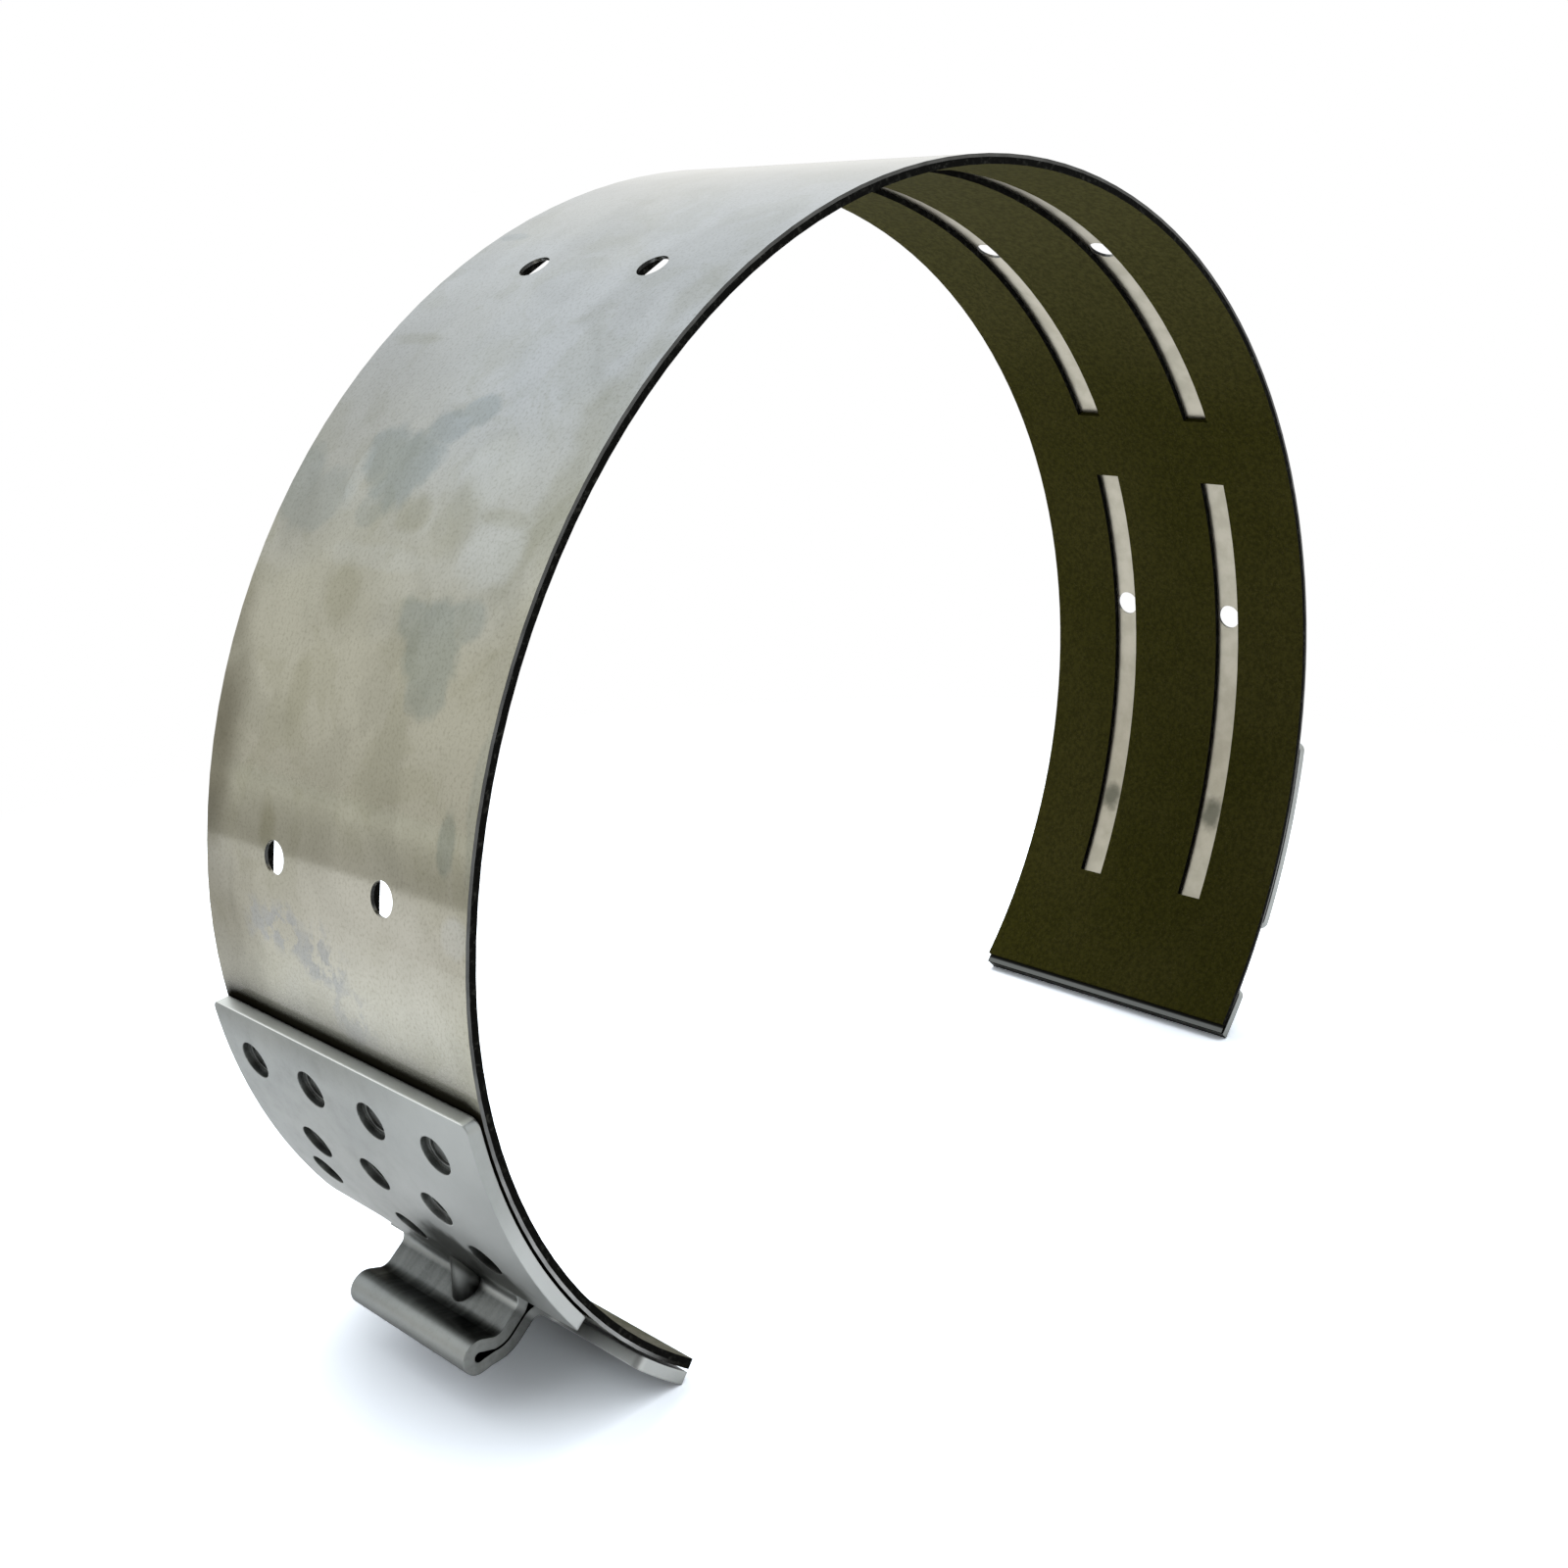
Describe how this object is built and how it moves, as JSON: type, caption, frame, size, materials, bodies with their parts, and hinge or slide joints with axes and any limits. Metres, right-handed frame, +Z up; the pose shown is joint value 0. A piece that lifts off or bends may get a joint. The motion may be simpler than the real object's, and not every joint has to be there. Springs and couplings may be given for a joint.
{
  "type": "transmission band",
  "caption": "Wrap-around brake band for an automatic transmission drum: a spring steel strap lined with grooved friction paper, with a welded folded lug at each open end.",
  "frame": {"origin": "centre of the round drum seat, on the band's axis, at the middle of the width", "axes": "+Y along the drum's axis; +Z up, as the band stands on the outer corners of its two ends; +X towards the right-hand end, where the round drum seat is"},
  "size_m": [0.1664, 0.048, 0.1344],
  "materials": {
    "strap_steel": "rolled spring steel, satin, with faint heat and oil stains",
    "friction_paper": "dark resin-bonded friction paper, matt and fibrous",
    "bracket_steel": "pressed and folded sheet steel, satin"
  },
  "bodies": {
    "root": {"strap": "strap_steel", "lining": "friction_paper", "left_end_bracket": "bracket_steel", "right_end_bracket": "bracket_steel"}
  },
  "joints": []
}
